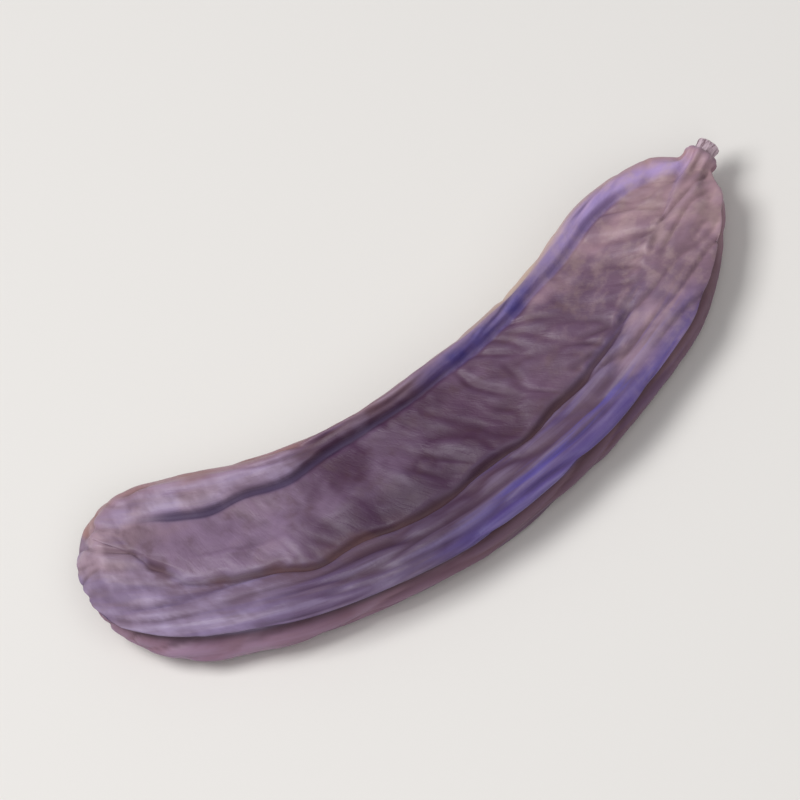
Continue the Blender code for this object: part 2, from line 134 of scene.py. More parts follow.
# The cords and the field. Each margin is a pair of thick cords with the suture between them, and
# the skin between the cords has sunk onto the seeds. The cords stiffen the pod, so they stay up
# where the flesh between them has dried away, and they run out flat towards both tips.
CORD_HALF = 4.75 * MM
LIP_HALF = 3.85 * MM
FOLD_HALF = 3.40 * MM
FIELD_HALF = 3.35 * MM
EDGE_HALF = 2.4 * MM  # height of the widest place
CREST_BAND = 2.0 * MM  # bands are counted in from the margin
LIP_BAND = 4.85 * MM
FOLD_BAND = 5.4 * MM
FIELD_BAND = 6.3 * MM
LIP_WIDTH = 0.90 * MM  # of the cord's steep side over the fold
FOOT_WIDTH = 1.50 * MM  # from the fold to the level field
CREST_MOST = 0.42  # most of the half width that lies outside each of these, towards the tips
LIP_MOST = 0.62
FOLD_MOST = 0.72
FIELD_MOST = 0.90
HOLLOW_CORD = 0.68  # width of each cord, as a share of these bands
HOLLOW_BROADENS = 0.60
OUTER_CORD = 1.65
OUTER_BROADENS = 0.25
BROADENS_OVER = (0.16, 0.46)
CORDS_MEET = 0.2
HOLLOW_RUNS_OUT = (2 * MM, 13 * MM)  # distances from the stalk over which the hollow cords flatten
OUTER_RUNS_OUT = (18 * MM, 42 * MM)
BEAK_RUNS_OUT = (4 * MM, 15 * MM)  # distances from the beak over which all the cords flatten
SUNKEN_LEAST = 0.35  # share of the field's depth that is left there
SUTURE_DEPTH = 0.55 * MM
SUTURE_UP = 2.0 * MM  # of the outer suture, over the middle of the thickness
EDGE_UP = 0.7
SUTURE_COMES_UP = (1 * MM, 9 * MM)
SET_BACK = 1.7 * MM  # of the outer margin's upper cord and suture, over its lower cord
SET_BACK_STARTS = (6 * MM, 20 * MM)
SET_BACK_ENDS = (0.14, 0.42)
NOSE_REACH = 4.5 * MM
BLOSSOM_THIN = 0.22
BLOSSOM_THIN_REACH = 24 * MM
STALK_THICK_REACH = 19 * MM
STALK_THIN = 0.12
SWELL = 0.06
SWELL_GRAIN = 17 * MM
SWELL_DRAW = 5.9
FOLD_DRIFT = 0.8 * MM
DRIFT_RISES = (0.08, 0.20)
DRIFT_FALLS = (0.75, 0.90)
DRIFT_DRAW = 3.1
FOLD_GRAIN = 8 * MM
BEAK_LENGTH = 1.4 * MM
BEAK_RADIUS = 1.6 * MM
STUB_LENGTH = 2.4 * MM
STUB_RADIUS = 1.75 * MM
STUB_FLARE = 0.18
STUB_ROUNDING = 0.5 * MM
STUB_POWER = 3
COLLAR_RADIUS = 2.5 * MM
COLLAR_LENGTH = 1.1 * MM
ROUNDS_FROM = 4.0 * MM
# From the middle of a broad side to the field's edge, the fold, its lip, the cord's crest, the
# widest place and the suture, as shares of a quarter of the way round.
KNOTS = np.array([0, 4, 6, 7, 10, 13, 15]) / 15
STEEPEST = 3  # slope of a curve through knots, as a multiple of the gentler way to its neighbours


def through(knots, values, t):
    """A smooth curve through the values at the knots. The first and the last only give it slope.

    Where the values go one way from knot to knot, so does the curve, without running back.
    """
    slopes = [0.0]
    for i in range(1, len(knots) - 1):
        before = (values[i] - values[i - 1]) / (knots[i] - knots[i - 1])
        after = (values[i + 1] - values[i]) / (knots[i + 1] - knots[i])
        slope = (values[i + 1] - values[i - 1]) / (knots[i + 1] - knots[i - 1])
        most = STEEPEST * np.minimum(np.abs(before), np.abs(after))
        slopes.append(np.where(before * after >= 0, np.clip(slope, -most, most), slope))
    made = np.zeros_like(t)
    for i in range(1, len(knots) - 2):
        gap = knots[i + 1] - knots[i]
        h = (t - knots[i]) / gap
        curve = (1 + 2 * h) * (1 - h) ** 2 * values[i] + h * h * (3 - 2 * h) * values[i + 1]
        curve += gap * h * (1 - h) * ((1 - h) * slopes[i] - h * slopes[i + 1])
        made = np.where((h >= 0) & (h <= 1), curve, made)
    return made


def cord_share(s, hollow):
    """The width of the cords, as a share of the bands, for hollow from 0 (outer) to 1."""
    blossom = 1 - rise(s / LENGTH, *BROADENS_OVER)
    outer_share = OUTER_CORD + OUTER_BROADENS * blossom
    hollow_share = HOLLOW_CORD + HOLLOW_BROADENS * blossom
    return outer_share + (hollow_share - outer_share) * hollow


def drift(s, side, face):
    """How far the fold wanders in from its band."""
    wander = FOLD_DRIFT * noise_along(s, side, face, FOLD_GRAIN, DRIFT_DRAW)
    return wander * rise(s / LENGTH, *DRIFT_RISES) * (1 - rise(s / LENGTH, *DRIFT_FALLS))


def towards_hollow(s, y):
    """0 on the outer side of the middle, 1 on the hollow side, and smooth between."""
    middle, half = middle_and_half(s)
    return rise((y - middle) / np.maximum(half, MM), -CORDS_MEET, CORDS_MEET)


def standing(s, y):
    """How far the cords stand out over the field: 0 where they have run out, and 1 on the body."""
    outer = rise(LENGTH - s, *OUTER_RUNS_OUT)
    hollow = rise(LENGTH - s, *HOLLOW_RUNS_OUT)
    from_tip = np.hypot(s, y - BLOSSOM_TIP)
    return (outer + (hollow - outer) * towards_hollow(s, y)) * rise(from_tip, *BEAK_RUNS_OUT)


def band(s, y, side, face):
    """How far in from the margin a place lies, with the cord's share and its wandering taken out."""
    share = cord_share(s, towards_hollow(s, y))
    depth = np.array([outline.find((a, b, 0))[2] for a, b in zip(s, y)]) / share
    return depth - drift(s, side, face) * rise(depth, CREST_BAND, FOLD_BAND)


def thickness(s):
    """Share of the full thickness at a distance s from the blossom tip."""
    nose = superellipse(s, NOSE_REACH) * (1 - BLOSSOM_THIN * (1 - rise(s, 0, BLOSSOM_THIN_REACH)))
    stalk = superellipse(LENGTH - s, STALK_THICK_REACH)
    return nose * stalk * (1 - STALK_THIN * rise(s, LENGTH / 2, LENGTH))


def suture_height(s, side):
    """How high the suture runs over the middle of the thickness, on the outer margin only."""
    return SUTURE_UP * thickness(s) * rise(s, *SUTURE_COMES_UP) * (1 - side) / 2


def set_back(s, side):
    """How far the outer margin's upper cord and suture stand back from its lower cord."""
    along = rise(s, *SET_BACK_STARTS) * (1 - rise(s / LENGTH, *SET_BACK_ENDS))
    return SET_BACK * thickness(s) * along * (1 - side) / 2


def stub_radius(s):
    """The collar's and the stalk stub's radius, round the end of the pod and past it."""
    past = s - LENGTH
    stub = STUB_RADIUS * (1 + STUB_FLARE * np.clip(past / STUB_LENGTH, 0, 1) ** 2)
    collar = (COLLAR_RADIUS - STUB_RADIUS) * (1 - rise(past, 0, COLLAR_LENGTH))
    return (stub + collar) * superellipse(STUB_LENGTH - past, STUB_ROUNDING, STUB_POWER)


def stations(rings):
    """Distances from the blossom tip to the stub's end, evenly spread along the pod's outline."""
    s = np.linspace(0, LENGTH + STUB_LENGTH, FINE_STEPS)
    half = middle_and_half(s)[1]
    radius = np.maximum(half, np.where(s > LENGTH - ROUNDS_FROM, stub_radius(s), 0))
    walked = np.concatenate([[0], np.cumsum(np.hypot(np.diff(s), np.diff(radius)))])
    return np.interp(np.linspace(0, walked[-1], rings + 1), walked, s)


def section(s, t, side, face):
    """Across and up, for t from 0 in the middle of a broad side to 1 in a margin's suture."""
    middle, half = middle_and_half(s)
    thick = thickness(s)
    share, wander = cord_share(s, (side + 1) / 2), drift(s, side, face)
    field = half - np.minimum((FOLD_BAND + wander) * share + FOOT_WIDTH, FIELD_MOST * half)
    fold = half - np.minimum((FOLD_BAND + wander) * share, FOLD_MOST * half)
    lip = half - np.minimum((FOLD_BAND + wander) * share - LIP_WIDTH, LIP_MOST * half)
    crest = half - np.minimum(CREST_BAND * share, CREST_MOST * half)
    back = set_back(s, side)
    edge, other_edge = half - back * (1 + face) / 2, half - back * (1 - face) / 2
    across = [0 * half, field, fold, lip, crest, edge, half - back - SUTURE_DEPTH * thick]
    bands = [0, CREST_BAND, LIP_BAND, FOLD_BAND, FIELD_BAND]
    halves = [EDGE_HALF, CORD_HALF, LIP_HALF, FOLD_HALF, FIELD_HALF]
    swell = 1 + SWELL * noise_along(s, side, face, SWELL_GRAIN, SWELL_DRAW)
    height = []
    for offset in across[:5]:
        place = middle + side * offset
        inwards = band(s, place, side, face)
        sunken = SUNKEN_LEAST + (1 - SUNKEN_LEAST) * standing(s, place)
        level = np.interp(inwards, bands, halves)
        level = np.where(inwards > CREST_BAND, CORD_HALF - (CORD_HALF - level) * sunken, level)
        height.append(level * thick * swell)
    up = face * suture_height(s, side)
    height += [EDGE_HALF * thick + EDGE_UP * up, up]
    knots = [-KNOTS[1], *KNOTS, 2 - KNOTS[-2]]
    y = through(knots, [-across[1], *across, other_edge], t)
    past_suture = 2 * EDGE_UP * up - height[-2]
    z = through(knots, [height[1], *height, past_suture], t)
    radius = stub_radius(s)
    rounded = rise(s, LENGTH - ROUNDS_FROM, LENGTH)
    y = y * (1 - rounded) + radius * np.sin(t * math.pi / 2) * rounded
    z = z * (1 - rounded) + radius * np.cos(t * math.pi / 2) * rounded
    return middle + side * y, face * z


def from_beak(s, y, z):
    """Distance from the blossom tip, where the beak stands."""
    return np.sqrt(s**2 + (y - BLOSSOM_TIP) ** 2 + z**2)


def straight_pod(s, turn):
    """Places on a straight pod, for turn from 0 to 4 quarters round it, with margin and side."""
    quarter = np.floor(turn).astype(int)
    t = np.where(quarter % 2 == 0, 1 - turn % 1, turn % 1)
    side = np.where((quarter == 0) | (quarter == 3), 1.0, -1.0)
    face = np.where(quarter < 2, 1.0, -1.0)
    y, z = section(s, t, side, face)
    beak = BEAK_LENGTH * np.exp(-((from_beak(s, y, z) / BEAK_RADIUS) ** 2))
    return np.column_stack([s - beak, y, z]), side, face


# The folds, the seeds and the dents: the relief that shows from a step away. As the pod dried, its
# field creased on a slant between the cords, the cords creased lengthwise, and the hard seeds
# stayed as low swellings.
SEEDS = 10
SEED_SPAN = (15 * MM, 100 * MM)
SEED_HEIGHT = 0.75 * MM
SEED_HEIGHT_SHARE = (0.5, 1.1)
SEED_OFF_MIDDLE = 1.2 * MM
SEED_TURN = 0.4
SEED_DRAW = 11
SEED_LENGTH = 3.3 * MM
SEED_BREADTH = 4.6 * MM
FOLD_DEPTH = 0.90 * MM
FOLD_RADIUS = 0.50 * MM
HOLLOW_FOLD = 0.65  # share of the depth on the hollow side
FOLD_DEEPENS = (0.16, 0.42)  # shares of the length between which the outer fold gets its full depth
FOLD_LEAST = 0.40  # share of the depth where the outer fold starts
FOLD_DEPTH_SHARE = (0.5, 1.2)
FOLD_DRAW = 7.7
CALM_REACH = 4 * MM
SUTURE_FOLD = 0.40 * MM
SUTURE_RADIUS = 0.70 * MM
DENT_DEPTH = 0.6 * MM
DENT_GRAIN = (17 * MM, 9 * MM, 9 * MM)
DENT_DRAW = 12.5
CORD_CREASE_DEPTH = 0.50 * MM
CORD_CREASE_GRAIN = (13 * MM, 2.5 * MM, 2.5 * MM)
CORD_DRAW = 31.0
FIELD_CREASE_DEPTH = 0.42 * MM
FIELD_CREASED = (0.38, 0.60)  # shares of the length between which the field gets its full creases
FIELD_CREASED_LEAST = 0.35  # share of their depth on the blossom end's side
FIELD_CREASE_GRAIN = (3.1 * MM, 6.5 * MM, 9 * MM)
FIELD_CREASE_SLANT = 0.7
FIELD_DRAW = 47.0
CREASE_WIDTH = 0.30
PUCKERS = 9
PUCKER_DEPTH = 0.20 * MM
PUCKER_REACH = 12 * MM
RELIEF_FULL = 0.67
FADE_GRAIN = (16 * MM, 6 * MM, 6 * MM)  # over which the creases come and go
FADE_DRAW = 19.5
FADE_SPAN = (-0.35, 0.25)
FADE_LEAST = 0.4


def crossed(s):
    """How deep the creases across the field are along the pod, as a share."""
    return FIELD_CREASED_LEAST + (1 - FIELD_CREASED_LEAST) * rise(s / LENGTH, *FIELD_CREASED)


def crease(points, grain, draw, width=CREASE_WIDTH):
    """1 along the wandering zero lines of a noise, and 0 off them."""
    return 1 - rise(np.abs(noise_at(points, grain, draw)), 0, width)


def calm(s, y, z):
    """0 at the thin ends and round the beak, where the skin is smooth, and 1 on the body."""
    return np.minimum(thickness(s) / RELIEF_FULL, 1) * rise(from_beak(s, y, z), 0, CALM_REACH)


def slanted(points, face):
    """The same places, moved along the pod so that what crosses it comes out on a slant."""
    y = points[:, 1]
    return points + np.column_stack([FIELD_CREASE_SLANT * face * y, 0 * y, 0 * y])


def relief(points, side, face):
    """How far the skin stands out, in metres, at places on the straight pod."""
    s, y, z = points.T
    s = np.maximum(s, 0)
    inwards = band(s, y, side, face)
    in_field = rise(inwards, FOLD_BAND, FIELD_BAND)

    # The fold between cord and field is deeper in some places than in others.
    least, most = FOLD_DEPTH_SHARE
    deep = least + (most - least) * (noise_along(s, side, face, FOLD_GRAIN, FOLD_DRAW) + 1) / 2
    share = cord_share(s, towards_hollow(s, y))
    off_fold = (inwards - FOLD_BAND) * share
    fold = np.exp(-((off_fold / FOLD_RADIUS) ** 2)) * deep * standing(s, y)
    deepened = FOLD_LEAST + (1 - FOLD_LEAST) * rise(s / LENGTH, *FOLD_DEEPENS)
    fold *= deepened + (HOLLOW_FOLD - deepened) * towards_hollow(s, y)
    off_suture = z - suture_height(s, side)
    suture = np.exp(-((off_suture / SUTURE_RADIUS) ** 2)) * (1 - rise(inwards, 0, CREST_BAND))

    # The seeds lift the field, each a little off the middle and turned its own way.
    draw = random.Random(SEED_DRAW)
    swelling = np.zeros_like(s)
    for seed in np.linspace(*SEED_SPAN, SEEDS):
        across = y - draw.uniform(-SEED_OFF_MIDDLE, SEED_OFF_MIDDLE)
        along = s - seed + draw.uniform(-SEED_TURN, SEED_TURN) * face * across
        spread = (along / SEED_LENGTH) ** 2 + (across / SEED_BREADTH) ** 2
        swelling += draw.uniform(*SEED_HEIGHT_SHARE) * np.exp(-spread)

    dents = noise_at(points, DENT_GRAIN, DENT_DRAW)
    on_cord = crease(points, CORD_CREASE_GRAIN, CORD_DRAW) * CORD_CREASE_DEPTH
    on_field = crease(slanted(points, face), FIELD_CREASE_GRAIN, FIELD_DRAW)
    on_field *= FIELD_CREASE_DEPTH * crossed(s)
    creased = rise(noise_at(points, FADE_GRAIN, FADE_DRAW), *FADE_SPAN)
    creased = FADE_LEAST + (1 - FADE_LEAST) * creased
    middle = middle_and_half(np.minimum(s, LENGTH))[0]
    pucker = PUCKER_DEPTH * np.sin(PUCKERS * np.arctan2(z, y - middle))
    pucker *= rise(s, LENGTH - PUCKER_REACH, LENGTH - ROUNDS_FROM)
    pucker *= 1 - rise(s, LENGTH, LENGTH + COLLAR_LENGTH)

    skin = SEED_HEIGHT * swelling * in_field + DENT_DEPTH * dents
    skin -= FOLD_DEPTH * fold + SUTURE_FOLD * suture
    skin -= (on_cord * np.minimum(share, 1) * (1 - in_field) + on_field * in_field) * creased
    return skin * calm(s, y, z) + pucker


# The small wrinkles. Leathery skin that loses its water shrinks into rounded ridges with shallow
# furrows between them: on a slant across the field, crowded where the field is drawn down beside
# the cords, and long and low on the cords themselves.
WRINKLES = (
    # where, furrow depth, grain along, across and up, width of a furrow, draw
    ("field", 0.10 * MM, (2.0 * MM, 5.5 * MM, 8 * MM), 0.42, 61.0),
    ("fold", 0.08 * MM, (1.8 * MM, 7.0 * MM, 9 * MM), 0.42, 71.0),
    ("cord", 0.10 * MM, (9.0 * MM, 1.9 * MM, 1.9 * MM), 0.45, 79.0),
)
WARP = 1.3 * MM  # by which the furrows leave straight lines
WARP_GRAIN = 5.5 * MM
WARP_DRAWS = (101.0, 107.0, 113.0)
FOLD_WRINKLES_REACH = 1.5 * MM  # on either side of the fold
SUTURE_THREAD = 0.16 * MM  # height of the fine thread in the suture's bottom
SUTURE_THREAD_RADIUS = 0.30 * MM


def small_wrinkles(points, side, face):
    """What the small wrinkles add to the relief, in metres."""
    s, y, z = points.T
    s = np.maximum(s, 0)
    inwards = band(s, y, side, face)
    in_field = rise(inwards, FOLD_BAND, FIELD_BAND)
    beside_fold = np.exp(-(((inwards - FOLD_BAND) / FOLD_WRINKLES_REACH) ** 2))
    where = {"field": in_field, "fold": beside_fold, "cord": (1 - in_field) * (1 - beside_fold)}
    warp = [noise_at(points, WARP_GRAIN, draw) for draw in WARP_DRAWS]
    warped = points + WARP * np.column_stack(warp)
    depth = np.zeros_like(s)
    for place, deep, grain, width, draw in WRINKLES:
        run = warped if place == "cord" else slanted(warped, face)
        along = 1 if place == "cord" else crossed(s)
        depth += where[place] * deep * along * crease(run, grain, draw, width)
    off_suture = z - suture_height(s, side)
    thread = SUTURE_THREAD * np.exp(-((off_suture / SUTURE_THREAD_RADIUS) ** 2))
    return (thread * (1 - rise(inwards, 0, CREST_BAND)) - depth) * calm(s, y, z)


# The bend and the way the pod lies. The pod curves in the plane of its broad sides, twists and
# bows a little, and lies on the three low points of its underside that stand round its weight,
# where the skin is pressed flat.
BEND = math.radians(72)
BEND_EASES = (0.60, 0.96)
TWIST = math.radians(11)
BOW = 1.3 * MM
REST_FLAT = 0.50 * MM
FACES_DOWN = -0.9
SOLID_AROUND = 60  # face counts of the solid, whose lowest points it lies on
SOLID_ALONG = 98


def middle_line(s):
    """Places and headings of the bent middle line, in the plane of the curve, at distances s."""
    fine = np.linspace(0, LENGTH + STUB_LENGTH, FINE_STEPS)
    curvature = 1 - rise(fine / LENGTH, *BEND_EASES)
    step = fine[1] - fine[0]
    heading = np.cumsum(curvature) * step
    heading *= BEND / heading[-1]
    x = np.cumsum(np.cos(heading)) * step
    y = np.cumsum(np.sin(heading)) * step
    chord = math.atan2(y[-1] - y[0], x[-1] - x[0])
    along = math.cos(chord) * x + math.sin(chord) * y
    aside = math.cos(chord) * y - math.sin(chord) * x
    return np.interp(s, fine, along), np.interp(s, fine, aside), np.interp(s, fine, heading - chord)


def bend(points):
    """Carries places on the straight pod to the bent, bowed and twisted one."""
    s, across, up = points.T
    x, y, heading = middle_line(s)
    share = s / LENGTH
    turn = TWIST * (share - 0.5)
    side = across * np.cos(turn) - up * np.sin(turn)
    height = across * np.sin(turn) + up * np.cos(turn) - BOW * (2 * share - 1) ** 2
    return np.column_stack([x - np.sin(heading) * side, y + np.cos(heading) * side, height])


def read(mesh, name, attribute):
    """One vector for each vertex or vertex normal of a mesh."""
    values = np.empty(len(mesh.vertices) * 3)
    getattr(mesh, name).foreach_get(attribute, values)
    return values.reshape(-1, 3)


def write(mesh, points):
    """Moves a mesh's vertices to the points."""
    mesh.vertices.foreach_set("co", points.ravel())
    mesh.update()


def pod_of(around, along, name, *reliefs):
    """A pod shaped from a sphere whose poles become the beak and the stub's end."""
    bpy.ops.object.select_all(action="DESELECT")
    bpy.ops.mesh.primitive_uv_sphere_add(segments=around, ring_count=along, radius=1.0)
    pod = bpy.context.object
    pod.name = name
    mesh = pod.data
    ball = read(mesh, "vertices", "co")
    ring = np.rint(np.arccos(np.clip(ball[:, 2], -1, 1)) / math.pi * along).astype(int)
    column = np.rint(np.arctan2(ball[:, 1], ball[:, 0]) / (2 * math.pi) * around).astype(int)
    straight, side, face = straight_pod(stations(along)[ring], (column % around) / (around / 4))
    write(mesh, bend(straight))
    if Vector(mesh.vertex_normals[int(np.argmax(straight[:, 2]))].vector).z < 0:
        mesh.flip_normals()
    raised = sum(make(straight, side, face) for make in reliefs)
    write(mesh, bend(straight) + read(mesh, "vertex_normals", "vector") * raised[:, None])
    return pod, straight, side, face


def middle_of_mass(bm):
    """The middle of mass of a closed mesh of triangles."""
    weighed, volume = Vector(), 0.0
    for face in bm.faces:
        a, b, c = (v.co for v in face.verts)
        piece = a.dot(b.cross(c)) / 6
        weighed += (a + b + c) / 4 * piece
        volume += piece
    return weighed / volume


def rest_turn(mesh):
    """The rotation that lays the pod on the three low points that stand round its weight."""
    bm = bmesh.new()
    bm.from_mesh(mesh)
    bmesh.ops.triangulate(bm, faces=bm.faces)
    weight = middle_of_mass(bm)
    shell = bmesh.new()
    for v in bm.verts:
        shell.verts.new(v.co)
    bmesh.ops.convex_hull(shell, input=shell.verts, use_existing_faces=False)
    shell.normal_update()
    down = None
    for face in shell.faces:
        if face.normal.z > FACES_DOWN:
            continue
        foot = weight + face.normal * (face.verts[0].co - weight).dot(face.normal)
        corners = [v.co for v in face.verts]
        edges = zip(corners, corners[1:] + corners[:1])
        if all((b - a).cross(foot - a).dot(face.normal) >= 0 for a, b in edges):
            down = face.normal.copy()
    bm.free()
    shell.free()
    return down.rotation_difference(Vector((0, 0, -1))).to_matrix()


solid_pod, *_ = pod_of(SOLID_AROUND, SOLID_ALONG, "solid_pod", relief)
lay = rest_turn(solid_pod.data)
solid_pod.data.transform(lay.to_4x4())
laid = read(solid_pod.data, "vertices", "co")
lay_low, lay_high = laid.min(axis=0), laid.max(axis=0)
lay_shift = (lay_low + lay_high) / 2
lay_shift[2] = lay_low[2] + REST_FLAT
bpy.data.objects.remove(solid_pod)


def laid_down(points):
    """Carries places on the bent pod to where it lies."""
    placed = points @ np.array(lay).T - lay_shift
    placed[:, 2] = np.maximum(placed[:, 2], 0)
    return placed


# The skin: one closed, dried husk from the beak to the lip that grips the wood of the stalk. It is
# drawn in to a flat disc behind that lip, where the wood hides it.
AROUND = 240  # face counts: about 0.3 mm each way
ALONG = 409
SKIN_ENDS = 0.8 * MM  # past the pod's end, where the lip stands
LIP_TURNS = 0.9 * MM  # over which the skin behind the lip is drawn in
LIP_SINKS = 0.5 * MM  # depth of the disc behind the lip
LIP_NARROWS = 0.5  # share of the radius by which it is drawn in
SMOOTHING = 3  # passes, which round the furrows' edges as drying does

skin, straight, side, face = pod_of(AROUND, ALONG, "pod_skin", relief, small_wrinkles)
bent = read(skin.data, "vertices", "co")
past = straight[:, 0] - LENGTH - SKIN_ENDS
behind = np.nonzero(past > 0)[0]
axis_y = STALK_TIP * np.ones(len(behind))
turned_in = rise(past[behind], 0, LIP_TURNS)
on_axis = bend(np.column_stack([LENGTH + SKIN_ENDS - LIP_SINKS * turned_in, axis_y, 0 * axis_y]))
off_axis = bent[behind] - bend(np.column_stack([straight[behind, 0], axis_y, 0 * axis_y]))
bent[behind] = on_axis + off_axis * (1 - LIP_NARROWS * turned_in)[:, None]
write(skin.data, bent)
bpy.ops.object.select_all(action="DESELECT")
skin.select_set(True)
bpy.context.view_layer.objects.active = skin
rounding = skin.modifiers.new("rounding", "SMOOTH")
rounding.factor = 0.5
rounding.iterations = SMOOTHING
bpy.ops.object.modifier_apply(modifier=rounding.name)
write(skin.data, laid_down(read(skin.data, "vertices", "co")))
skin.data.shade_smooth()

# What the finish reads off the skin: how far along and in from the margin a place lies, and how
# hollow it is there. The furrows carry painted shade, and the ridges a pale bloom with painted highlight.
HOLLOW_FINE = (8, 0.16 * MM)  # passes of smoothing, and the depth that counts as fully hollow
HOLLOW_BROAD = (70, 0.75 * MM)
OUTER_RIM = 2.6 * MM  # how far in from the suture the reddish band under the outer margin reaches
HOLLOW_RIM = 2.3 * MM  # the same on both cords of the hollow margin
SUTURE_LINE = 0.45 * MM
FOLD_LINE = 0.42 * MM
BROWN_BAND = 1.0 * MM  # on either side of the outer fold by the blossom end
SUTURE_BLUR = 0.3 * MM  # over which the rim under the outer suture starts
INDIGO_UP = (-0.2 * MM, 0.4 * MM)  # heights over the outer suture between which the indigo starts
INDIGO_IN = (0.4 * MM, 2.2 * MM)  # how far in from the margin it fades
VIOLET_IN = (0.60 * FOLD_BAND, 1.15 * FOLD_BAND)  # the same for the violet of the hollow cord
BLUE_IN = (0.40 * FOLD_BAND, 0.85 * FOLD_BAND)  # the same for the blue streaks
LEFT_FURTHER_IN = 0.2  # share of the violet and the blue that is left further in
# Shares of the length. Four say where a colour starts, is full, fades and has gone, and two say
# where it starts and is full.
VIOLET_SPAN = (0.50, 0.61, 0.71, 0.81)
INDIGO_SPAN = (0.40, 0.50, 0.76, 0.88)
BLUE_SPAN = (0.33, 0.56, 0.86, 0.98)
OUTER_FOLD_SPAN = (0.14, 0.24, 0.72, 0.86)
HOLLOW_FOLD_SPAN = (0.07, 0.14, 0.46, 0.60)
BROWN_SPAN = (0.04, 0.10, 0.36, 0.48)
LILAC_STARTS = (0.73, 0.85)
STALK_PALES = (0.60, 0.95)
FIELD_SPREADS = (0.74, 0.86)  # over the outer cord, which has run out there
SUTURE_FADES = (0.42, 0.60)
# The dark in the suture, the furrows and the valleys is painted shade.
SUTURE_LEFT = 0.3  # share of the dark in the suture past that
FOLD_CLEARS = (0.46, 0.60)  # where the hollow fold loses its dark
FOLD_LEFT = 0.25
# Where the cream painted highlight on the hollow rim is strongest along the pod.
EDGE_HIGHLIGHT_AT = (0.74, 0.16)  # middle and spread of what comes and goes round one place
PLUM_AT = (0.43, 0.10)
PLUM_ON_HOLLOW = 0.2  # share of the plum on the hollow side


def hollowness(mesh, passes, full):
    """How far each vertex lies under the smoothed skin, from -1 (ridge) to 1 (furrow)."""
    edges = np.empty(len(mesh.edges) * 2, np.int32)
    mesh.edges.foreach_get("vertices", edges)
    one, two = edges.reshape(-1, 2).T
    count = np.bincount(edges, minlength=len(mesh.vertices))
    start = read(mesh, "vertices", "co")
    smooth = start.copy()
    for _ in range(passes):
        total = []
        for i in range(3):
            near = np.bincount(one, smooth[two, i], len(smooth))
            near += np.bincount(two, smooth[one, i], len(smooth))
            total.append(near / count)
        smooth = np.column_stack(total)
    sunk = ((smooth - start) * read(mesh, "vertex_normals", "vector")).sum(axis=1)
    return np.clip(sunk / full, -1, 1)


def keep(mesh, name, values):
    """Stores one number or one vector for each vertex, for the finish to read."""
    kind, slot = ("FLOAT", "value") if values.ndim == 1 else ("FLOAT_VECTOR", "vector")
    stored = mesh.attributes.new(name, kind, "POINT")
    stored.data.foreach_set(slot, values.astype(np.float32).ravel())


def over(span):
    """How much of a colour there is along the pod, from where it starts, is full, fades and has gone."""
    starts, full, fades, gone = span
    return rise(share_at, starts, full) * (1 - rise(share_at, fades, gone))


def round_about(middle, spread):
    """1 at one share of the length, and less on both sides of it."""
    return np.exp(-(((share_at - middle) / spread) ** 2))


def line_of(distance, width):
    """1 on a line, and less on both sides of it."""
    return np.exp(-((distance / width) ** 2))


s_at, y_at, z_at = np.maximum(straight[:, 0], 0), straight[:, 1], straight[:, 2]
share_at = s_at / LENGTH
inwards_at = band(s_at, y_at, side, face)
hollow_at = towards_hollow(s_at, y_at)
outer_at = 1 - hollow_at
up_at = z_at - suture_height(s_at, side)
stands = standing(s_at, y_at)
fine, broad = hollowness(skin.data, *HOLLOW_FINE), hollowness(skin.data, *HOLLOW_BROAD)
under = 1 - rise(up_at, -SUTURE_BLUR, SUTURE_BLUR)
above = (1 - rise(inwards_at, *INDIGO_IN)) * rise(up_at, *INDIGO_UP)
in_suture = line_of(up_at, SUTURE_LINE) * (1 - rise(inwards_at, 0, CREST_BAND))
fold_line = line_of(inwards_at - FOLD_BAND, FOLD_LINE) * stands
clear = 1 - (1 - FOLD_LEFT) * hollow_at * rise(share_at, *FOLD_CLEARS)
violet_in = hollow_at * (1 - (1 - LEFT_FURTHER_IN) * rise(inwards_at, *VIOLET_IN))
blue_in = 1 - (1 - LEFT_FURTHER_IN) * rise(inwards_at, *BLUE_IN)
marks = {
    "field": np.maximum(rise(inwards_at, FOLD_BAND, FIELD_BAND), outer_at * rise(share_at, *FIELD_SPREADS)),
    "outer_rim": (1 - rise(inwards_at, 0.4 * OUTER_RIM, OUTER_RIM)) * under * outer_at,
    "hollow_rim": line_of(inwards_at, HOLLOW_RIM) * hollow_at,
    "suture": in_suture * calm(s_at, y_at, z_at) * (1 - (1 - SUTURE_LEFT) * rise(share_at, *SUTURE_FADES)),
    "furrow": np.maximum(fine, 0) * clear,
    "ridge": np.maximum(-fine, 0),
    "valley": np.maximum(broad, 0) * stands * clear,
    "hump": np.maximum(-broad, 0),
    "stalk_end": rise(share_at, *STALK_PALES),
    "blue_part": blue_in * over(BLUE_SPAN),
    "edge_highlight_part": round_about(*EDGE_HIGHLIGHT_AT),
    "hollow_violet": violet_in * over(VIOLET_SPAN),
    "hollow_tip": violet_in * rise(share_at, *LILAC_STARTS),
    "suture_blue": above * outer_at * over(INDIGO_SPAN),
    "plum_part": round_about(*PLUM_AT) * (1 - (1 - PLUM_ON_HOLLOW) * hollow_at),
    "outer_fold": fold_line * outer_at * over(OUTER_FOLD_SPAN),
    "hollow_fold": fold_line * hollow_at * over(HOLLOW_FOLD_SPAN),
    "brown_band": line_of(inwards_at - FOLD_BAND, BROWN_BAND) * outer_at * over(BROWN_SPAN),
}
keep(skin.data, "along_pod", straight)
keep(skin.data, "slanted_pod", slanted(straight, face))
for name, values in marks.items():
    keep(skin.data, name, values)


def linear(code):
    """An sRGB hex colour as Blender's linear one."""
    shares = [int(code[i:i + 2], 16) / 255 for i in (1, 3, 5)]
    return [c / 12.92 if c <= 0.04045 else ((c + 0.055) / 1.055) ** 2.4 for c in shares] + [1.0]


